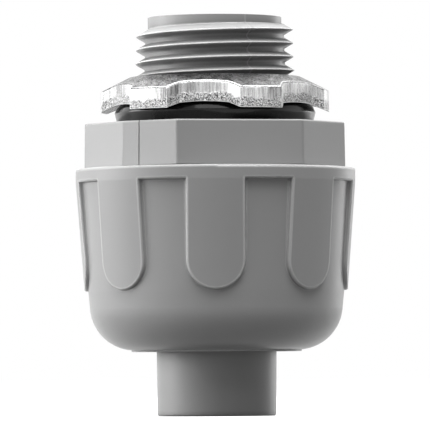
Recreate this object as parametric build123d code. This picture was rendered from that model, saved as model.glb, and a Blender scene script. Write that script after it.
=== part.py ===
# A liquidtight connector for half-inch flexible conduit, standing on the end of its ferrule.
# The origin is the centre of the ferrule's flat end, and +Z runs up the axis to the threaded hub.
# One tongue of the gland nut faces -Y. All sizes are in millimetres and all angles in degrees.
import os
from math import atan, ceil, cos, degrees, radians, tan

from build123d import *

# Half-inch flexible conduit, which the gland end takes
conduit_r = 10.55
conduit_clearance = 0.4

# Ferrule: the sleeve that the conduit is pushed over
ferrule_r = 8.0
ferrule_wall = 1.2
ferrule_show = 8.6  # length of sleeve below the gland nut
ferrule_flange_overhang = 0.35  # past the conduit's outside
ferrule_flange_thick = 1.8
ferrule_seat_depth = 3.6  # below the body's flange
ferrule_tip_drop = 0.07  # taper of the stretch that shows
ferrule_edge = 0.2

# Hub thread: half-inch taper pipe thread, 14 to the inch, with sharp crests
thread_half_angle = 30
hub_pitch = 25.4 / 14
hub_taper = 1 / 32  # radius lost for each unit of height
hub_crest_r = 10.85  # at the flange
hub_thread_depth = 1.22
hub_crest_flat = 0.1
hub_crest_height = 10.75  # of a crest on the +X side, above the flange
hub_relief = 0.9  # plain neck between flange and thread
hub_chamfer = 0.9  # height over which the first turn grows

# Hub and its bore
hub_length = 14.2
hub_wall = 1.53
hub_edge = 0.2
pilot_step = 0.08  # below the thread's root
pilot_height = 0.85

# Body flange: a wrench hexagon with one pair of opposite sides folded outwards
flange_height = 5.9
flange_setback = 0.92  # of its corners from the gland nut's band
flange_corner_angles = (10.0, 73.6, 130.8)  # and their opposites
flange_fold_drop = 1.05
flange_fold_angle = 222.8
flange_corner_round = 0.5
flange_top_round = 0.25
flange_draft = 0.8
parting_angle = 232.5
parting_width = 0.16
parting_depth = 0.35

# Body below the flange: compression thread and plain nose
gland_length = 13.4
gland_thread_reach = 8.4
gland_pitch = 2.0
gland_thread_depth = 0.85
gland_crest_flat = 0.45
gland_nose_wall = 2.0
gland_nose_step = 0.15  # below the thread's root
gland_relief = 1.6  # plain neck under the flange
gland_chamfer = 0.7
body_clearance = 0.15  # round the ferrule's flange

# Gland nut: turned outside
nut_height = 24.4
nut_gap = 0.1  # under the flange
nut_wall = 1.87  # over its thread's bore, at the top
nut_waist_drop = 0.34
nut_waist_height = 8.0
nut_foot_drop = 0.71
nut_bowl_round = 6.0
nut_lip_width = 0.4
nut_lip_height = 0.2
nut_band_height = 1.85
nut_band_stand = 1.25
nut_edge_round = 0.3

# Gland nut: raised tongues that hang from the top band
tongue_count = 8
tongue_half_width = 3.85
tongue_length = 14.45
tongue_end_stand = 0.49
tongue_round = 0.22

# Gland nut: inside
nut_mouth_length = 2.2
nut_cone_overrun = 0.6  # of the cone, past the grip ring
nut_nose_clearance = 0.4
nut_relief = 0.6  # plain groove below its thread
nut_thread_clearance = 0.25
nut_lead = 0.35

# Grip ring: a slotted cone that the nut closes on the conduit
grip_bore_clearance = 0.3
grip_clearance = 0.15
grip_height = 4.0
grip_slot_width = 1.2
grip_slot_count = 6
grip_slot_web = 1.2
grip_split_width = 2.0

# Conduit seal: a rubber ring between the grip ring and the body
seal_bore_clearance = 0.15
seal_neck_wall = 1.3
seal_neck_height = 3.2
seal_collar_height = 3.7
seal_collar_setback = 0.9  # from the body's outside
seal_clearance = 0.3

# Sealing gasket round the hub
gasket_clearance = 0.28
gasket_width = 1.96
gasket_bulge = 0.35
gasket_bulge_height = 1.45
gasket_step = 0.3
gasket_step_height = 2.1
gasket_crown_drop = 0.6
gasket_height = 2.7
gasket_round = 0.3

# Locknut: a dished steel stamping with six lugs
locknut_clearance = 0.23
locknut_rim_width = 0.35
locknut_rim_drop = 0.2
locknut_slope = 26.5
locknut_wall = 2.72  # height of its cut edge
locknut_seat_gap = 0.27  # over the gasket's crown
locknut_width = 4.17
locknut_notch_depth = 1.35
locknut_lug_count = 6
locknut_lug_angle = 294.0
locknut_lug_half = 11.5
locknut_notch_half = 13.5
locknut_edge_round = 0.45

# Heights that follow from the sizes above
nut_bottom_z = ferrule_show
nut_top_z = nut_bottom_z + nut_height
nut_band_z = nut_top_z - nut_band_height
nut_mouth_z = nut_bottom_z + nut_mouth_length
nut_waist_z = nut_bottom_z + nut_waist_height
nut_bowl_z = nut_bottom_z + nut_lip_height
flange_bottom_z = nut_top_z + nut_gap
flange_top_z = flange_bottom_z + flange_height
hub_top_z = flange_top_z + hub_length
pilot_bottom_z = hub_top_z - pilot_height
gland_end_z = flange_bottom_z - gland_length
gland_thread_low_z = flange_bottom_z - gland_thread_reach
ferrule_top_z = flange_bottom_z - ferrule_seat_depth
ferrule_reach = ferrule_top_z - ferrule_flange_thick
seal_top_z = gland_end_z + seal_neck_height
seal_bottom_z = gland_end_z - seal_collar_height
grip_top_z = seal_bottom_z - seal_clearance
grip_bottom_z = grip_top_z - grip_height
nut_cone_top_z = grip_top_z + nut_cone_overrun
nut_relief_low_z = gland_thread_low_z - nut_relief
tongue_end_z = nut_band_z - tongue_length

# Radii that follow, outwards from the conduit
ferrule_bore_r = ferrule_r - ferrule_wall
ferrule_flange_r = conduit_r + ferrule_flange_overhang
nut_mouth_r = conduit_r + conduit_clearance
grip_bore_r = conduit_r + grip_bore_clearance
seal_bore_r = conduit_r + seal_bore_clearance
seal_neck_r = seal_bore_r + seal_neck_wall
gland_mouth_r = seal_neck_r + seal_clearance
gland_nose_r = gland_mouth_r + gland_nose_wall
gland_root_r = gland_nose_r + gland_nose_step
gland_crest_r = gland_root_r + gland_thread_depth
seal_collar_r = gland_nose_r - seal_collar_setback
nut_chamber_r = gland_nose_r + nut_nose_clearance
nut_thread_r = gland_crest_r + nut_thread_clearance
nut_shoulder_r = nut_thread_r + nut_wall
nut_top_r = nut_shoulder_r + nut_band_stand
nut_waist_r = nut_shoulder_r - nut_waist_drop
nut_foot_r = nut_waist_r - nut_foot_drop
nut_lip_r = nut_mouth_r + nut_lip_width
flange_corner_r = nut_top_r - flange_setback
flange_fold_r = flange_corner_r - flange_fold_drop

# Radii that follow from the hub's thread
hub_root_r = hub_crest_r - hub_thread_depth
pilot_r = hub_root_r - hub_taper * (hub_length - pilot_height) - pilot_step
body_bore_r = pilot_r - hub_wall
thread_core_r = body_bore_r - hub_thread_depth  # inside every bore, so it is trimmed away
gasket_bore_r = hub_crest_r + gasket_clearance
gasket_foot_r = gasket_bore_r + gasket_width
gasket_widest_r = gasket_foot_r + gasket_bulge
gasket_step_r = gasket_widest_r - gasket_step
gasket_crown_r = gasket_foot_r - gasket_crown_drop
locknut_bore_r = hub_crest_r + locknut_clearance
locknut_rim_r = locknut_bore_r + locknut_rim_width
locknut_lug_r = locknut_bore_r + locknut_width
locknut_notch_r = locknut_lug_r - locknut_notch_depth
locknut_fall = tan(radians(locknut_slope))
locknut_seat_z = flange_top_z + gasket_height + locknut_seat_gap
locknut_top_z = locknut_seat_z + (gasket_crown_r - locknut_rim_r) * locknut_fall + locknut_wall


def turned(outline, rounds=None):
    # A solid turned about Z from (radius, height) corners, each with its own rounding if given.
    corners = [(r, 0, z) for r, z in outline]
    if rounds:
        edge = FilletPolyline(*corners, radius=rounds, close=True)
    else:
        edge = Polyline(*corners, close=True)
    return revolve(make_face(edge), axis=Axis.Z)


def threaded_tube(pitch, crest_r, depth, crest_flat, crest_z, bore_r, low_z, high_z, slope=0.0):
    # A right-hand thread on a tube that reaches past both heights, built one turn at a time.
    # Its crest is at crest_z on the +X side, and crest_r is its radius at low_z if it narrows upwards.
    cone = -degrees(atan(slope))
    root_r = crest_r - depth
    half_crest = crest_flat / 2
    half_foot = half_crest + depth * tan(radians(thread_half_angle))
    section = [(root_r, -half_foot), (crest_r, -half_crest), (crest_r, half_crest), (root_r, half_foot),
               (root_r, pitch - half_foot)]
    first = -ceil((crest_z - low_z) / pitch) - 1
    last = ceil((high_z - crest_z) / pitch) + 1

    def winding(r, z, turn, taper):
        start = crest_z + turn * pitch + z
        angle = cone if taper else 0
        return Edge(Helix(pitch / cos(radians(angle)), pitch, r - taper * (start - low_z),
                          center=(0, 0, start), cone_angle=angle).wrapped)

    faces = []
    for turn in range(first, last):
        outer = [winding(r, z, turn, slope) for r, z in section]
        inner = [winding(bore_r, z, turn, 0) for z in (-half_foot, pitch - half_foot)]
        faces += [Face.make_surface_from_curves(a, b) for a, b in zip(outer, outer[1:])]
        faces.append(Face.make_surface_from_curves(*inner))
        if turn == first:
            faces.append(Face.make_surface_from_curves(inner[0], outer[0]))
            faces.append(Face(Wire.make_polygon([edge @ 0 for edge in outer + inner[::-1]])))
        if turn == last - 1:
            faces.append(Face.make_surface_from_curves(inner[1], outer[-1]))
            faces.append(Face(Wire.make_polygon([edge @ 1 for edge in outer + inner[::-1]])))
    return Solid(Shell(faces))


def flange():
    # The wrench flange, drafted upwards, with the moulding's parting lines cut down two sides.
    corners = [(flange_corner_r, angle + turn) for angle in flange_corner_angles for turn in (0, 180)]
    corners += [(flange_fold_r, flange_fold_angle - turn) for turn in (0, 180)]
    corners.sort(key=lambda corner: corner[1] % 360)
    outline = Polyline(*[Vector(r, 0, 0).rotate(Axis.Z, a) for r, a in corners], close=True)
    prism = extrude(Pos(0, 0, flange_bottom_z) * make_face(outline), flange_height, taper=flange_draft)
    uprights = [e for e in prism.edges() if abs(e.tangent_at(0.5).Z) > 0.9]
    prism = fillet(uprights, flange_corner_round)
    prism = fillet(prism.faces().sort_by(Axis.Z)[-1].edges(), flange_top_round)
    groove = Box(2 * parting_depth, parting_width, 2 * flange_height)
    for angle in (parting_angle, parting_angle - 180):
        reach = max_reach(prism, angle)
        prism -= Rot(0, 0, angle) * Pos(reach, 0, flange_bottom_z + flange_height / 2) * groove
    return prism


def max_reach(solid, angle):
    # How far a solid reaches from the axis along one direction, at the flange's mid height.
    middle = Pos(0, 0, flange_bottom_z + flange_height / 2)
    ray = Rot(0, 0, angle) * middle * Line((0, 0), (2 * flange_corner_r, 0))
    return (solid & ray).edge().length


def body():
    # Hub, flange and compression thread in one moulding, bored through for the wires.
    hub = threaded_tube(hub_pitch, hub_crest_r, hub_thread_depth, hub_crest_flat,
                        flange_top_z + hub_crest_height, thread_core_r,
                        flange_top_z, pilot_bottom_z, hub_taper)
    hub &= turned([
        (body_bore_r, flange_top_z + hub_relief),
        (hub_root_r, flange_top_z + hub_relief),
        (hub_crest_r + hub_thread_depth, flange_top_z + hub_relief + hub_chamfer),
        (hub_crest_r + hub_thread_depth, pilot_bottom_z - hub_chamfer * 2),
        (hub_crest_r, pilot_bottom_z - hub_chamfer),
        (pilot_r, pilot_bottom_z),
        (body_bore_r, pilot_bottom_z),
    ])
    pilot = turned([
        (body_bore_r, pilot_bottom_z - hub_chamfer),
        (pilot_r - hub_edge, pilot_bottom_z - hub_chamfer),
        (pilot_r, pilot_bottom_z),
        (pilot_r, hub_top_z - hub_edge),
        (pilot_r - hub_edge, hub_top_z),
        (body_bore_r + hub_edge, hub_top_z),
        (body_bore_r, hub_top_z - hub_edge),
    ])
    neck = turned([
        (body_bore_r, flange_bottom_z),
        (hub_root_r, flange_bottom_z),
        (hub_root_r, flange_top_z + hub_relief),
        (body_bore_r, flange_top_z + hub_relief),
    ])
    gland = threaded_tube(gland_pitch, gland_crest_r, gland_thread_depth, gland_crest_flat,
                          flange_bottom_z, thread_core_r, gland_end_z, flange_bottom_z)
    seat_r = ferrule_flange_r + body_clearance
    gland &= turned([
        (body_bore_r, ferrule_top_z),
        (seat_r, ferrule_top_z),
        (seat_r, seal_top_z),
        (gland_mouth_r, seal_top_z),
        (gland_mouth_r, gland_end_z),
        (gland_nose_r, gland_end_z),
        (gland_nose_r, gland_thread_low_z - gland_chamfer),
        (gland_crest_r + gland_thread_depth, gland_thread_low_z + gland_chamfer),
        (gland_crest_r + gland_thread_depth, flange_bottom_z - gland_relief - gland_chamfer),
        (gland_root_r, flange_bottom_z - gland_relief),
        (gland_root_r, flange_bottom_z),
        (body_bore_r, flange_bottom_z),
    ])
    bore = Pos(0, 0, flange_bottom_z) * Cylinder(body_bore_r, 2 * flange_height)
    return hub + pilot + neck + (flange() - bore) + gland


def ferrule():
    # Flange inside the body, then the sleeve that carries the conduit, tapered at its free end.
    tip_r = ferrule_r - ferrule_tip_drop
    sleeve = turned([
        (ferrule_bore_r + ferrule_edge, 0),
        (tip_r - ferrule_edge, 0),
        (tip_r, ferrule_edge),
        (ferrule_r, ferrule_show),
        (ferrule_r, ferrule_reach),
        (ferrule_flange_r, ferrule_reach),
        (ferrule_flange_r, ferrule_top_z),
        (body_bore_r, ferrule_top_z),
        (ferrule_bore_r, ferrule_reach),
        (ferrule_bore_r, ferrule_edge),
    ])
    return sleeve


def nut_cone_r(z, inset=0.0):
    # Radius of the nut's inner cone at a height, less an inset measured square to the cone.
    slope = (nut_chamber_r - nut_mouth_r) / (nut_cone_top_z - nut_mouth_z)
    return nut_mouth_r + slope * (z - nut_mouth_z) - inset / cos(atan(slope))


def gland_nut():
    # A turned bowl with a thin lip and a plain top band, from which raised tongues hang.
    bowl = turned([
        (0, nut_bowl_z),
        (nut_foot_r, nut_bowl_z),
        (nut_waist_r, nut_waist_z),
        (nut_shoulder_r, nut_band_z),
        (nut_shoulder_r, nut_top_z),
        (0, nut_top_z),
    ], [0, nut_bowl_round, 0, 0, 0, 0])
    lip = turned([
        (0, nut_bottom_z),
        (nut_lip_r, nut_bottom_z),
        (nut_lip_r + nut_lip_height, nut_mouth_z),
        (0, nut_mouth_z),
    ])
    band = turned([
        (nut_waist_r, nut_band_z),
        (nut_top_r, nut_band_z),
        (nut_top_r, nut_top_z),
        (nut_waist_r, nut_top_z),
    ], [0, nut_edge_round, nut_edge_round, 0])
    round_z = tongue_end_z + tongue_half_width
    root_r = nut_foot_r - nut_wall
    skirt = turned([
        (root_r, tongue_end_z - tongue_half_width),
        (nut_waist_r + tongue_end_stand, tongue_end_z),
        (nut_top_r, nut_band_z),
        (nut_top_r, nut_band_z + nut_edge_round),
        (root_r, nut_band_z + nut_edge_round),
    ])
    side = Plane.XZ
    tongue = extrude(side * (Pos(0, round_z) * Circle(tongue_half_width)), nut_top_r)
    tongue += extrude(side * (Pos(0, (round_z + nut_top_z) / 2) * Rectangle(
        2 * tongue_half_width, nut_top_z - round_z)), nut_top_r)
    tongue &= skirt
    outside = tongue.faces().filter_by(GeomType.CONE).sort_by(SortBy.AREA)[-1]
    rims = [e for e in outside.edges() if e.center().Z < nut_band_z]
    tongue = fillet(rims, tongue_round)
    nut = bowl + lip + band
    for i in range(tongue_count):
        nut += Rot(0, 0, 360 * i / tongue_count) * tongue
    nut -= turned([
        (0, nut_bottom_z),
        (nut_mouth_r, nut_bottom_z),
        (nut_mouth_r, nut_mouth_z),
        (nut_chamber_r, nut_cone_top_z),
        (nut_chamber_r, nut_relief_low_z),
        (nut_thread_r, nut_relief_low_z),
        (nut_thread_r, gland_thread_low_z),
        (0, gland_thread_low_z),
    ])
    nut -= threaded_tube(gland_pitch, nut_thread_r, gland_thread_depth, gland_crest_flat, flange_bottom_z,
                         thread_core_r, gland_end_z, nut_top_z) & turned([
        (gland_nose_r, gland_thread_low_z),
        (nut_thread_r + nut_lead, gland_thread_low_z),
        (nut_thread_r + nut_lead, nut_top_z),
        (gland_nose_r, nut_top_z),
    ])
    return nut - turned([
        (0, gland_thread_low_z),
        (nut_thread_r - gland_thread_depth, gland_thread_low_z),
        (nut_thread_r - gland_thread_depth, nut_top_z - nut_lead - gland_thread_depth),
        (nut_thread_r + nut_lead, nut_top_z),
        (0, nut_top_z),
    ])


def grip_ring():
    # A cone in the nut's cone, split right through once and slotted from below elsewhere.
    ring = turned([
        (grip_bore_r, grip_bottom_z),
        (nut_cone_r(grip_bottom_z, grip_clearance), grip_bottom_z),
        (nut_cone_r(grip_top_z, grip_clearance), grip_top_z),
        (grip_bore_r, grip_top_z),
    ])
    reach = nut_chamber_r - grip_bore_r
    middle = (nut_chamber_r + grip_bore_r) / 2
    height = grip_top_z - grip_bottom_z
    slot = Pos(middle, 0, grip_bottom_z + (height - grip_slot_web) / 2) * Box(
        2 * reach, grip_slot_width, height - grip_slot_web)
    split = Pos(middle, 0, grip_bottom_z + height / 2) * Box(2 * reach, grip_split_width, height)
    for i in range(grip_slot_count):
        ring -= Rot(0, 0, 90 + 360 * i / grip_slot_count) * (slot if i else split)
    return ring


def conduit_seal():
    # A stepped rubber ring: its neck fills the body's mouth and its collar meets the body's end.
    return turned([
        (seal_bore_r, seal_bottom_z),
        (seal_collar_r, seal_bottom_z),
        (seal_collar_r, gland_end_z),
        (seal_neck_r, gland_end_z),
        (seal_neck_r, seal_top_z),
        (seal_bore_r, seal_top_z),
    ])


def sealing_gasket():
    # Rubber ring on the flange, shaped above to nest in the locknut's dish.
    return turned([
        (gasket_bore_r, flange_top_z),
        (gasket_foot_r, flange_top_z),
        (gasket_widest_r, flange_top_z + gasket_bulge_height),
        (gasket_step_r, flange_top_z + gasket_step_height),
        (gasket_crown_r, flange_top_z + gasket_height),
        (gasket_bore_r, flange_top_z + gasket_height),
    ], [0, 0, gasket_round, 0, 0, 0])


def locknut():
    # A dished washer, cut to lugs and notches, with the punch's rounding on its upper edges.
    edge_r = locknut_lug_r + locknut_notch_depth
    dish_drop = (edge_r - locknut_rim_r) * locknut_fall
    dish = turned([
        (body_bore_r, locknut_top_z - locknut_wall),
        (locknut_rim_r, locknut_top_z - locknut_wall),
        (edge_r, locknut_top_z - locknut_wall - dish_drop),
        (edge_r, locknut_top_z - dish_drop),
        (locknut_rim_r, locknut_top_z),
        (locknut_bore_r + locknut_rim_drop, locknut_top_z),
        (body_bore_r, locknut_top_z - locknut_rim_drop - locknut_bore_r + body_bore_r),
    ])
    dish -= threaded_tube(hub_pitch, locknut_bore_r, hub_thread_depth, hub_crest_flat,
                          flange_top_z + hub_crest_height, thread_core_r,
                          flange_top_z, locknut_top_z, hub_taper)
    step = 360 / locknut_lug_count
    outline = []
    for i in range(locknut_lug_count):
        lug = locknut_lug_angle + step * i
        notch = lug + step / 2
        a, b, c = [Vector(locknut_lug_r, 0, 0).rotate(Axis.Z, lug + turn)
                   for turn in (-locknut_lug_half, 0, locknut_lug_half)]
        d, e = [Vector(locknut_notch_r, 0, 0).rotate(Axis.Z, notch + turn)
                for turn in (-locknut_notch_half, locknut_notch_half)]
        f = Vector(locknut_lug_r, 0, 0).rotate(Axis.Z, lug + step - locknut_lug_half)
        outline += [ThreePointArc(a, b, c), Line(c, d), Line(d, e), Line(e, f)]
    blank = extrude(make_face(outline), 2 * locknut_top_z)
    nut = dish & blank
    dome = nut.faces().filter_by(GeomType.CONE).sort_by(SortBy.AREA)[-2:].sort_by(Axis.Z)[-1]
    return fillet(dome.outer_wire().edges(), locknut_edge_round)


def save(solid, name):
    export_step(solid, f"parts/{name}.step")
    print(name, round(solid.volume, 2), solid.is_valid, len(solid.solids()))


if __name__ == "__main__":
    os.makedirs("parts", exist_ok=True)
    for make in (body, locknut, sealing_gasket, gland_nut, grip_ring, conduit_seal, ferrule):
        save(make(), make.__name__)
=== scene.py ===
import math

import bpy
from mathutils import Matrix, Vector


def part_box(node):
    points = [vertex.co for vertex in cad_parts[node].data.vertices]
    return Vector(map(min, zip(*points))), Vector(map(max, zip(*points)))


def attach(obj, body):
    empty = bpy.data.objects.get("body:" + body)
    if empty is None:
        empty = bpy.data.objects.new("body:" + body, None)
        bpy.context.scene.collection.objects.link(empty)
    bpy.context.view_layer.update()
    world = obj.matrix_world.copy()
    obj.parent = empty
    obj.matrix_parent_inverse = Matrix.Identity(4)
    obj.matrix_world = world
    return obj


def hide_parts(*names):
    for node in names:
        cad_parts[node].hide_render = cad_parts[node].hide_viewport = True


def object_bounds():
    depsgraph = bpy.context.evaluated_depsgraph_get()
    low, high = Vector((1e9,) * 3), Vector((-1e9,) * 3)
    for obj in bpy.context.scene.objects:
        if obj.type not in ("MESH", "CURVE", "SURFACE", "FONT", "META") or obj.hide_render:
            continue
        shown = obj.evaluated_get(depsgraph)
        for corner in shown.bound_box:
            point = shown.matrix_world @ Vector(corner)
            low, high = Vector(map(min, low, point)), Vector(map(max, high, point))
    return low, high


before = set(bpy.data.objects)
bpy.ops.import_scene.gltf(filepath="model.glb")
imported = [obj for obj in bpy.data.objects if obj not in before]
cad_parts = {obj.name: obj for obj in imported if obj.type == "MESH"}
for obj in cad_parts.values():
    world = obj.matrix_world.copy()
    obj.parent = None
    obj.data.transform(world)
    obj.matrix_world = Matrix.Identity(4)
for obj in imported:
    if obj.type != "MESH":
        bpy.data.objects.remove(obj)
cadBox = [list(corner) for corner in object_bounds()]
print("frame loaded:", sorted(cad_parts))


def clearSelection():
    if bpy.context.object and bpy.context.object.mode != "OBJECT":
        bpy.ops.object.mode_set(mode="OBJECT")
    bpy.ops.object.select_all(action="DESELECT")


def levelDirection(degrees):
    # away from the axis, at an angle that starts at the front and grows to the right
    angle = math.radians(degrees)
    return Vector((math.sin(angle), -math.cos(angle), 0))


# shader helpers

# where an edge starts to show and shows in full, and the same for a hollow corner
maskLook = {"edge": (0.003, 0.05), "hollow": (0.93, 0.7), "samples": 6}


class Signal:
    # a socket that takes part in Python arithmetic
    def __init__(self, finish, socket):
        self.finish = finish
        self.socket = socket

    def maths(self, operation, first, second=0.0, clamp=False):
        settings = {"operation": operation, "use_clamp": clamp}
        return self.finish.add("ShaderNodeMath", settings, {0: first, 1: second})

    def __add__(self, other):
        return self.maths("ADD", self, other)

    def __sub__(self, other):
        return self.maths("SUBTRACT", self, other)

    def __rsub__(self, other):
        return self.maths("SUBTRACT", other, self)

    def __mul__(self, other):
        return self.maths("MULTIPLY", self, other)

    __radd__ = __add__
    __rmul__ = __mul__

    def absolute(self):
        return self.maths("ABSOLUTE", self)

    def root(self):
        return self.maths("SQRT", self)

    def clamped(self):
        return self.maths("ADD", self, 0.0, clamp=True)

    def ramp(self, low, high):
        # 0 below low, 1 above high, or the other way round where low is the larger
        return ((self - low) * (1 / (high - low))).clamped()


class Finish:
    # the nodes of one material or of the world, and the method that adds them
    def __init__(self, owner):
        self.owner = owner
        owner.use_nodes = True
        self.tree = owner.node_tree
        self.tree.nodes.clear()

    def add(self, kind, settings=None, sockets=None, output=0):
        node = self.tree.nodes.new(kind)
        for name, value in (settings or {}).items():
            setattr(node, name, value)
        for name, value in (sockets or {}).items():
            if isinstance(value, Signal):
                self.tree.links.new(value.socket, node.inputs[name])
            else:
                node.inputs[name].default_value = value
        return Signal(self, node.outputs[output]) if node.outputs else node

    def place(self, scale=(1, 1, 1)):
        spot = self.add("ShaderNodeTexCoord", output="Object")
        return self.add("ShaderNodeMapping", {}, {"Vector": spot, "Scale": scale})

    def split(self, vector):
        first = self.add("ShaderNodeSeparateXYZ", {}, {"Vector": vector})
        return [Signal(self, socket) for socket in first.socket.node.outputs]

    def noise(self, vector, scale, detail=2.0, roughness=0.5):
        return self.add("ShaderNodeTexNoise", {}, {
            "Vector": vector, "Scale": scale, "Detail": detail, "Roughness": roughness})

    def grey(self, value):
        return self.add("ShaderNodeCombineColor", {}, {"Red": value, "Green": value, "Blue": value})

    def mixed(self, share, first, second):
        # the Mix node has sockets of one name for each type of data, so the colour ones go by number
        return self.add("ShaderNodeMix", {"data_type": "RGBA"}, {0: share, 6: first, 7: second}, output=2)

    def seen(self):
        # 1 for the rays of the camera, of reflections and of clear pieces, and 0 for light on a surface
        rays = self.add("ShaderNodeLightPath", output="Is Camera Ray")
        for kind in ("Is Glossy Ray", "Is Transmission Ray"):
            rays = rays + self.add("ShaderNodeLightPath", output=kind)
        return rays

    def facing(self):
        return self.add("ShaderNodeNewGeometry", output="Normal")

    def rounded(self, radius):
        # the surface's direction as if its sharp edges had this radius
        return self.add("ShaderNodeBevel", {"samples": maskLook["samples"]}, {"Radius": radius})

    def edge(self, radius):
        # 0 on the flats, and up to 1 along a sharp edge or corner
        match = self.add("ShaderNodeVectorMath", {"operation": "DOT_PRODUCT"}, {
            0: self.rounded(radius), 1: self.facing()}, output="Value")
        return (1 - match).ramp(*maskLook["edge"])

    def hollow(self, reach):
        # 1 in a hollow corner, and 0 where the surface is open
        openness = self.add("ShaderNodeAmbientOcclusion", {"samples": maskLook["samples"]}, {
            "Distance": reach}, output="AO")
        return openness.ramp(*maskLook["hollow"])

    def bump(self, height, distance, normal):
        return self.add("ShaderNodeBump", {}, {"Height": height, "Distance": distance, "Normal": normal})

    def show(self, surface, ending="ShaderNodeOutputMaterial"):
        self.add(ending, {}, {"Surface": surface})
        return self.owner


# floor and sky

floorLook = {"half": 6, "glow": 0.97, "paint": 0.35, "bounce": 0.08}


def floorWhite():
    # white to the camera and in reflections, with the object's shadow, and darker as a bounce
    finish = Finish(bpy.data.materials.new("floorWhite"))
    seen = finish.seen()
    tone = seen * (floorLook["paint"] - floorLook["bounce"]) + floorLook["bounce"]
    paint = finish.add("ShaderNodeBsdfDiffuse", {}, {"Color": finish.grey(tone)})
    glow = finish.add("ShaderNodeEmission", {}, {"Strength": seen * floorLook["glow"]})
    return finish.show(finish.add("ShaderNodeAddShader", {}, {0: paint, 1: glow}))


clearSelection()
bpy.ops.mesh.primitive_plane_add(size=2 * floorLook["half"], location=(0, 0, 0))
floor = bpy.context.object
floor.name = "floor"
floor.data.materials.append(floorWhite())

skyLook = {"seen": 1.0, "ambient": 0.1}


def studioSky():
    # white to the camera and in reflections, and dim as light
    finish = Finish(bpy.data.worlds.new("studio"))
    level = finish.seen() * (skyLook["seen"] - skyLook["ambient"]) + skyLook["ambient"]
    backdrop = finish.add("ShaderNodeBackground", {}, {"Color": (1, 1, 1, 1), "Strength": level})
    return finish.show(backdrop, "ShaderNodeOutputWorld")


bpy.context.scene.world = studioSky()

# lamps and camera

# azimuth runs from the front to the right, and level is what a white card facing the lamp would show
lamps = {
    "overhead": {"azimuth": 10, "rise": 76, "distance": 0.9, "size": (0.8, 0.5), "level": 1.55},
    "frontHigh": {"azimuth": 0, "rise": 50, "distance": 0.9, "size": (0.6, 0.4), "level": 0.3},
    "leftBox": {"azimuth": -96, "rise": 8, "distance": 0.6, "size": (0.4, 0.5), "level": 1.4},
    "leftFront": {"azimuth": -65, "rise": 5, "distance": 0.6, "size": (0.4, 0.5), "level": 0.32},
    "leftBack": {"azimuth": -130, "rise": 5, "distance": 0.6, "size": (0.4, 0.5), "level": 0.2},
    "rightRim": {"azimuth": 140, "rise": 5, "distance": 0.6, "size": (0.2, 0.6), "level": 0.4},
    "rightSide": {"azimuth": 95, "rise": 8, "distance": 0.6, "size": (0.4, 0.5), "level": 0.06},
    "backHigh": {"azimuth": 180, "rise": 60, "distance": 0.9, "size": (0.8, 0.4), "level": 0.65},
}


def addLamp(name, look):
    rise = math.radians(look["rise"])
    toward = levelDirection(look["azimuth"]) * math.cos(rise) + Vector((0, 0, math.sin(rise)))
    middle = Vector((0, 0, cadBox[1][2] / 2))
    clearSelection()
    bpy.ops.object.light_add(type="AREA", location=middle + toward * look["distance"])
    lamp = bpy.context.object
    lamp.name = name
    lamp.data.shape = "RECTANGLE"
    lamp.data.size, lamp.data.size_y = look["size"]
    lamp.data.energy = look["level"] * (math.pi * look["distance"]) ** 2
    lamp.rotation_euler = (-toward).to_track_quat("-Z", "Y").to_euler()


for name, look in lamps.items():
    addLamp(name, look)

cameraLook = {
    "spot": (-0.0001, -0.78, 0.0055), "aim": (-0.0001, 0, 0.02683), "roll": -0.37,
    "lens": 489.0, "sensor": 36, "near": 0.01,
}

clearSelection()
bpy.ops.object.camera_add(location=cameraLook["spot"])
camera = bpy.context.object
camera.data.lens = cameraLook["lens"]
camera.data.sensor_width = cameraLook["sensor"]
camera.data.clip_start = cameraLook["near"]
aim = (Vector(cameraLook["aim"]) - Vector(cameraLook["spot"])).to_track_quat("-Z", "Y").to_matrix()
camera.rotation_euler = (aim @ Matrix.Rotation(math.radians(cameraLook["roll"]), 3, "Z")).to_euler()
bpy.context.scene.camera = camera
bpy.context.scene.view_settings.view_transform = "Standard"
print("floor, lamps and camera placed")


# grey plastic

plasticLook = {
    "grey": 0.285, "cloud": 0.02, "cloudScale": 90, "gloss": 0.35,
    "rough": 0.42, "roughGrain": 0.12, "grain": 0.000008, "grainScale": 2600,
    # the hub's mould line, at an angle from the front to the right, above and outside these places
    "lineAngle": 27, "lineHalf": 0.00011, "lineLight": 0.07, "lineRise": 6,
    "lineFoot": 0.0395, "lineInside": 0.0088, "fade": 0.0001,
}

# round softens the light on an edge, highlightReach is how far a highlight painted along a sharp edge reaches
# and paintedHighlight how bright it is, between the heights foot and top, and paintedShade is how dark shade
# painted into a hollow corner is, as far as paintedShadeReach
bodyPlastic = {
    "round": 0.00008, "highlightReach": 0.00028, "paintedHighlight": 0.6, "foot": 0.0392, "top": 0.0521,
    "paintedShade": 0.15, "paintedShadeReach": 0.0014,
}
nutPlastic = {
    "round": 0.0002, "highlightReach": 0.00048, "paintedHighlight": 0.42, "foot": 0, "top": 1,
    "paintedShade": 0.07, "paintedShadeReach": 0.0005,
}
sleevePlastic = {
    "round": 0.00015, "highlightReach": 0.0002, "paintedHighlight": 0.42, "foot": 0, "top": 1,
    "paintedShade": 0.1, "paintedShadeReach": 0.0008,
}


def mouldLine(x, y, z):
    turn = math.radians(plasticLook["lineAngle"])
    half, foot, inside, fade = (plasticLook[key] for key in ("lineHalf", "lineFoot", "lineInside", "fade"))
    line = (x * math.cos(turn) + y * math.sin(turn)).absolute().ramp(half * 1.5, half * 0.5)
    return line * z.ramp(foot, foot + fade) * (x * x + y * y).root().ramp(inside, inside + fade)


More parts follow.
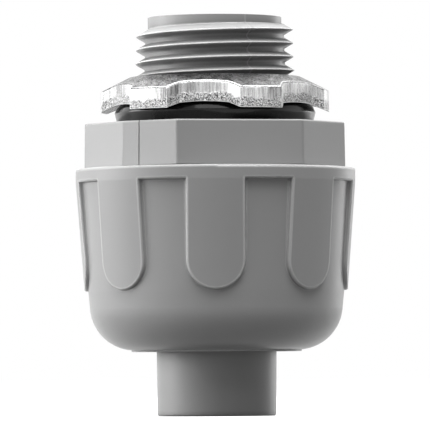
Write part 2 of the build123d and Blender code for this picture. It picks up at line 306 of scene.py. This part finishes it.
def greyPlastic(name, look):
    finish = Finish(bpy.data.materials.new(name))
    place = finish.place()
    x, y, z = finish.split(place)
    cloud = finish.noise(place, plasticLook["cloudScale"], 3)
    grain = finish.noise(place, plasticLook["grainScale"])
    line = mouldLine(x, y, z)
    above = z.ramp(look["foot"], look["foot"] + plasticLook["fade"])
    # painted highlight: sharp edges between foot and top are marked to be painted lighter
    edge = finish.edge(look["highlightReach"]) * above * z.ramp(look["top"] + plasticLook["fade"], look["top"])
    # painted shade: hollow corners, found by ambient occlusion, are marked to be painted darker
    hollow = finish.hollow(look["paintedShadeReach"]) * above
    tone = (cloud - 0.5) * plasticLook["cloud"] + line * plasticLook["lineLight"] + plasticLook["grey"]
    # the painted highlight is kept off hollow corners, which are painted darker as shade
    tone = tone + edge * (1 - hollow) * look["paintedHighlight"] - hollow * look["paintedShade"]
    height = grain + line * plasticLook["lineRise"]
    return finish.show(finish.add("ShaderNodeBsdfPrincipled", {}, {
        "Base Color": finish.grey(tone),
        "Roughness": (grain - 0.5) * plasticLook["roughGrain"] + plasticLook["rough"],
        "Specular IOR Level": plasticLook["gloss"],
        "Normal": finish.bump(height, plasticLook["grain"], finish.rounded(look["round"])),
    }))


# zinc plate

# the locknut's rim and the slope and wall of its dish, as in the CAD, and how high its cut edge is torn
locknutShape = {
    "rim": 0.01143, "slope": 26.5, "wall": 0.00272, "torn": 0.00125, "tornFade": 0.0002, "ragged": 0.0012,
}

zincLook = {
    "dome": 0.15, "domePits": 1.1, "domeBlotch": 0.5,
    "sheared": 0.38, "shearedBurnish": 0.7, "shearedSweep": 0.8,
    # roll is the bright tone of highlights painted on the rolled shoulder and along sharp edges
    "torn": 0.24, "tornPits": 1.7, "roll": 0.66, "lip": 0.00012,
    "rough": 0.3, "roughPits": 0.3, "roughTorn": 0.15,
    "relief": 0.00006, "reliefBurnish": 0.4, "reliefTorn": 2, "round": 0.00015,
    # how fine each pattern is, and how far the ones on the cut edge are stretched along the axis
    "pitScale": 6200, "blotchScale": 900, "burnishScale": 5600, "sweepScale": 260,
    "burnishStretch": 0.06, "sweepStretch": 0.1,
    # the cut edge stands upright, and the rolled shoulder over it is neither upright nor level
    "cutUp": (0.5, 0.3), "rollFrom": (0.68, 0.78), "rollTo": (0.88, 0.84), "rollHeight": (0.0012, 0.0016),
}


def zincSteel():
    finish = Finish(bpy.data.materials.new("zincSteel"))
    place = finish.place()
    x, y, z = finish.split(place)
    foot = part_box("locknut")[1].z - locknutShape["wall"]
    fall = math.tan(math.radians(locknutShape["slope"]))
    # above the lower edge, which follows the dish's slope
    height = z - foot + ((x * x + y * y).root() - locknutShape["rim"]) * fall
    up = finish.split(finish.facing())[2].absolute()

    pits = finish.noise(place, zincLook["pitScale"], 2, 0.6)
    blotch = finish.noise(place, zincLook["blotchScale"], 3)
    burnish = finish.noise(finish.place((1, 1, zincLook["burnishStretch"])), zincLook["burnishScale"], 2)
    sweep = finish.noise(finish.place((1, 1, zincLook["sweepStretch"])), zincLook["sweepScale"], 1)

    tornTop, tornFade = locknutShape["torn"], locknutShape["tornFade"]
    cut = up.ramp(*zincLook["cutUp"])
    torn = (height + (blotch - 0.5) * locknutShape["ragged"]).ramp(tornTop + tornFade, tornTop - tornFade)
    # painted highlight: the rolled shoulder over the cut edge is marked to be painted bright
    roll = up.ramp(*zincLook["rollFrom"]) * up.ramp(*zincLook["rollTo"])
    roll = roll * height.ramp(*zincLook["rollHeight"])
    # painted highlight: sharp edges are marked to be painted in the bright tone
    lip = finish.edge(zincLook["lip"])

    dome = (pits - 0.5) * zincLook["domePits"] + (blotch - 0.5) * zincLook["domeBlotch"] + zincLook["dome"]
    sheared = (burnish - 0.5) * zincLook["shearedBurnish"] + (sweep - 0.5) * zincLook["shearedSweep"]
    sheared = sheared + zincLook["sheared"]
    ragged = (pits - 0.5) * zincLook["tornPits"] + zincLook["torn"]
    face = sheared + (ragged - sheared) * torn
    tone = dome + (face - dome) * cut
    # the rolled shoulder is painted in the bright tone as a highlight
    tone = tone + (zincLook["roll"] - tone) * roll
    # sharp edges are painted in the bright tone as a highlight
    tone = (tone + (zincLook["roll"] - tone) * lip).clamped()
    rough = (pits - 0.5) * zincLook["roughPits"] + torn * cut * zincLook["roughTorn"] + zincLook["rough"]
    relief = pits * (1 - roll) + burnish * cut * zincLook["reliefBurnish"]
    relief = relief + torn * pits * zincLook["reliefTorn"]
    return finish.show(finish.add("ShaderNodeBsdfPrincipled", {}, {
        "Base Color": finish.grey(tone),
        "Metallic": 1.0,
        "Roughness": rough,
        "Normal": finish.bump(relief, zincLook["relief"], finish.rounded(zincLook["round"])),
    }))


# rubber and nylon

gasketLook = {
    "black": 0.003, "blackGrain": 0.006, "rough": 0.12, "roughGrain": 0.16, "gloss": 0.2,
    "grainScale": 900, "relief": 0.00001, "round": 0.0002,
}
sealLook = {
    "black": 0.035, "blackGrain": 0.03, "rough": 0.62, "roughGrain": 0.2, "gloss": 0.5,
    "grainScale": 1200, "relief": 0.00002, "round": 0,
}


def rubber(name, look):
    finish = Finish(bpy.data.materials.new(name))
    grain = finish.noise(finish.place(), look["grainScale"], 4)
    return finish.show(finish.add("ShaderNodeBsdfPrincipled", {}, {
        "Base Color": finish.grey(grain * look["blackGrain"] + look["black"]),
        "Roughness": (grain - 0.5) * look["roughGrain"] + look["rough"],
        "Specular IOR Level": look["gloss"],
        "Normal": finish.bump(grain, look["relief"], finish.rounded(look["round"])),
    }))


nylonLook = {
    "dark": (0.62, 0.62, 0.57, 1), "light": (0.72, 0.72, 0.68, 1), "cloudScale": 200,
    "rough": 0.38, "roughCloud": 0.2, "relief": 0.00002, "round": 0.0001,
}


def paleNylon():
    finish = Finish(bpy.data.materials.new("paleNylon"))
    cloud = finish.noise(finish.place(), nylonLook["cloudScale"], 3)
    return finish.show(finish.add("ShaderNodeBsdfPrincipled", {}, {
        "Base Color": finish.mixed(cloud, nylonLook["dark"], nylonLook["light"]),
        "Roughness": (cloud - 0.5) * nylonLook["roughCloud"] + nylonLook["rough"],
        "Normal": finish.bump(cloud, nylonLook["relief"], finish.rounded(nylonLook["round"])),
    }))


finishes = {
    "body": greyPlastic("bodyPlastic", bodyPlastic),
    "gland_nut": greyPlastic("nutPlastic", nutPlastic),
    "ferrule": greyPlastic("sleevePlastic", sleevePlastic),
    "locknut": zincSteel(),
    "sealing_gasket": rubber("blackRubber", gasketLook),
    "conduit_seal": rubber("sealRubber", sealLook),
    "grip_ring": paleNylon(),
}
for name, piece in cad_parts.items():
    piece.data.materials.clear()
    piece.data.materials.append(finishes[name])
print("finishes made and put on the CAD's pieces")


# copies that stand for a CAD piece whose shape they correct

mergeDistance = 0.000001  # joins the corners of the CAD's loose triangles
keySteps = 1000000  # places in a metre that a corner's key tells apart


def mergedCopy(node, name):
    piece = bpy.data.objects.new(name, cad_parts[node].data.copy())
    bpy.context.scene.collection.objects.link(piece)
    clearSelection()
    piece.select_set(True)
    bpy.context.view_layer.objects.active = piece
    bpy.ops.object.mode_set(mode="EDIT")
    bpy.ops.mesh.select_all(action="SELECT")
    bpy.ops.mesh.remove_doubles(threshold=mergeDistance)
    bpy.ops.object.mode_set(mode="OBJECT")
    return piece


def cutAcross(spot, direction, dropAbove=False):
    # cuts the active piece by a plane
    bpy.ops.object.mode_set(mode="EDIT")
    bpy.ops.mesh.select_all(action="SELECT")
    bpy.ops.mesh.bisect(plane_co=spot, plane_no=direction, clear_outer=dropAbove)
    bpy.ops.object.mode_set(mode="OBJECT")


def cornerKey(mesh, face, corner):
    spot = mesh.vertices[mesh.loops[corner].vertex_index].co
    return tuple(round(value * keySteps) for value in (*spot, *face.center))


def keepNormals(source, target, below=math.inf):
    # the faces under that height, which both meshes still share, keep the CAD's surface directions
    known = {}
    for face in source.polygons:
        if face.center.z < below:
            for corner in face.loop_indices:
                known[cornerKey(source, face, corner)] = source.corner_normals[corner].vector.copy()
    directions = [normal.vector.copy() for normal in target.corner_normals]
    for face in target.polygons:
        for corner in face.loop_indices:
            key = cornerKey(target, face, corner)
            if key in known:
                directions[corner] = known[key]
    target.normals_split_custom_set(directions)
    print("surface directions kept at", len(known), "corners")


def standFor(piece, node):
    piece.data.materials.clear()
    piece.data.materials.append(finishes[node])
    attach(piece, node)
    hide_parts(node)


# the body, with a second fold in its wrench flange and the end of its thread run out

bodyLook = {
    # the flange's side that folds at an angle between two corners, and the one opposite
    "fold": 77, "foldCorners": (40.8, 100), "foldReach": 0.01743,
    "flangeFoot": 0.03305, "flangeTop": 0.0391, "flangeInside": 0.0150,
    # the last turn of the thread, by its crest at the left, and the angles between which it dies away
    "pitch": 0.0254 / 14, "leftCrest": 0.0506, "flankHeight": 0.00085,
    "fadeFrom": 95, "fadeTo": 190, "sunk": 0.0004,
    # the hub's plain end, from where the CAD's is cut off, and the ring's wall, which reaches lower
    "pilotFoot": 0.0523, "ringFoot": 0.0507, "ringSteps": 120, "rimBand": 0.0001, "smooth": 28,
}


def onFlange(spot):
    inHeight = bodyLook["flangeFoot"] < spot.z < bodyLook["flangeTop"]
    return inHeight and spot.xy.length > bodyLook["flangeInside"]


def foldSides(piece, outward):
    # the plain side becomes two, which meet in an edge as far out as its corners
    corners = [levelDirection(angle) * bodyLook["foldReach"] for angle in bodyLook["foldCorners"]]
    along = (corners[1] - corners[0]).normalized()
    length = (corners[1] - corners[0]).length
    middle = corners[0] - along * corners[0].dot(along)  # the plain side's nearest point to the axis
    plainReach = middle.length ** 2 / outward.dot(middle)
    foldShare = (outward * plainReach - corners[0]).dot(along) / length
    for vertex in piece.data.vertices:
        spot = vertex.co
        if not onFlange(spot):
            continue
        side = 1 if spot.dot(outward) > 0 else -1
        share = (side * Vector((spot.x, spot.y, 0)) - corners[0]).dot(along) / length
        if 0 < share < 1:
            rise = share / foldShare if share < foldShare else (1 - share) / (1 - foldShare)
            vertex.co += outward * side * (bodyLook["foldReach"] - plainReach) * rise


def runOutThread(piece, pilotR):
    # the thread's last turn sinks into the hub's plain end, and what is above it is gone
    base, flank = pilotR - bodyLook["sunk"], bodyLook["flankHeight"]
    for vertex in piece.data.vertices:
        spot = vertex.co
        reach = spot.xy.length
        if reach <= pilotR or spot.z < bodyLook["leftCrest"] - flank:
            continue
        angle = (math.degrees(math.atan2(spot.x, -spot.y)) + 90) % 360 - 90  # -90 left, 0 front, 90 right
        above = spot.z - bodyLook["leftCrest"] - bodyLook["pitch"] * (angle + 90) / 360
        kept = 1.0
        if above > flank:
            kept = 0.0
        elif above > -flank and angle > bodyLook["fadeFrom"]:
            kept = max(0.0, 1 - (angle - bodyLook["fadeFrom"]) / (bodyLook["fadeTo"] - bodyLook["fadeFrom"]))
        target = base + (reach - base) * kept
        vertex.co.x *= target / reach
        vertex.co.y *= target / reach


def pilotRing(outer, rim, bore, top):
    # the hub's plain end, with the bore's edge broken, whose wall reaches down into the thread
    foot, inside = bodyLook["ringFoot"], bodyLook["pilotFoot"]
    clearSelection()
    bpy.ops.mesh.primitive_circle_add(vertices=bodyLook["ringSteps"], radius=outer, location=(0, 0, foot))
    bpy.ops.object.mode_set(mode="EDIT")
    bpy.ops.mesh.select_all(action="SELECT")
    bpy.ops.mesh.extrude_region_move(TRANSFORM_OT_translate={"value": (0, 0, top - foot)})
    bpy.ops.mesh.extrude_region_move()
    bpy.ops.transform.resize(value=(rim / outer, rim / outer, 1))
    bpy.ops.mesh.extrude_region_move(TRANSFORM_OT_translate={"value": (0, 0, bore - rim)})
    bpy.ops.transform.resize(value=(bore / rim, bore / rim, 1))
    bpy.ops.mesh.extrude_region_move(TRANSFORM_OT_translate={"value": (0, 0, inside - top + rim - bore)})
    bpy.ops.mesh.select_all(action="SELECT")
    bpy.ops.mesh.normals_make_consistent(inside=False)
    bpy.ops.object.mode_set(mode="OBJECT")


def mouldedBody():
    piece = mergedCopy("body", "bodyMoulding")
    outward = levelDirection(bodyLook["fold"])
    cutAcross((0, 0, 0), (-outward.y, outward.x, 0))
    foldSides(piece, outward)

    top = max(vertex.co.z for vertex in piece.data.vertices)
    upper = [vertex.co.xy.length for vertex in piece.data.vertices if vertex.co.z > top - bodyLook["rimBand"]]
    pilotR, rimR = max(upper), min(upper)
    boreR = min(vertex.co.xy.length for vertex in piece.data.vertices if vertex.co.z > bodyLook["pilotFoot"])
    runOutThread(piece, pilotR)
    cutAcross((0, 0, bodyLook["pilotFoot"]), (0, 0, 1), dropAbove=True)
    pilotRing(pilotR, rimR, boreR, top)
    piece.select_set(True)
    bpy.context.view_layer.objects.active = piece
    bpy.ops.object.join()
    print("thread run out onto a pilot of", round(pilotR * 1000, 2), "mm, bore", round(boreR * 1000, 2))

    bpy.ops.object.shade_smooth_by_angle(angle=math.radians(bodyLook["smooth"]))
    for face in piece.data.polygons:
        if onFlange(face.center):
            face.use_smooth = False
    keepNormals(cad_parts["body"].data, piece.data, bodyLook["flangeFoot"])
    standFor(piece, "body")


mouldedBody()

# the gland nut, whose wall between the tongues comes forward, not at its foot and the most at the band

nutLook = {
    "foot": 0.0166, "top": 0.03115, "footR": 0.01708, "topR": 0.01742,
    "forward": 0.0006, "near": 0.00015,  # how far it comes, and how close to the wall a corner of it lies
}


def mouldedNut():
    piece = mergedCopy("gland_nut", "nutMoulding")
    bpy.ops.object.shade_smooth()
    keepNormals(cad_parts["gland_nut"].data, piece.data)
    moved = 0
    for vertex in piece.data.vertices:
        share = (vertex.co.z - nutLook["foot"]) / (nutLook["top"] - nutLook["foot"])
        reach = vertex.co.xy.length
        wall = nutLook["footR"] + (nutLook["topR"] - nutLook["footR"]) * share
        inHeight = share > 0 and vertex.co.z < nutLook["top"] + nutLook["near"]
        if inHeight and abs(reach - wall) < nutLook["near"]:
            vertex.co.x *= 1 + nutLook["forward"] * share / reach
            vertex.co.y *= 1 + nutLook["forward"] * share / reach
            moved += 1
    print("nut wall brought forward at", moved, "corners")
    standFor(piece, "gland_nut")


mouldedNut()
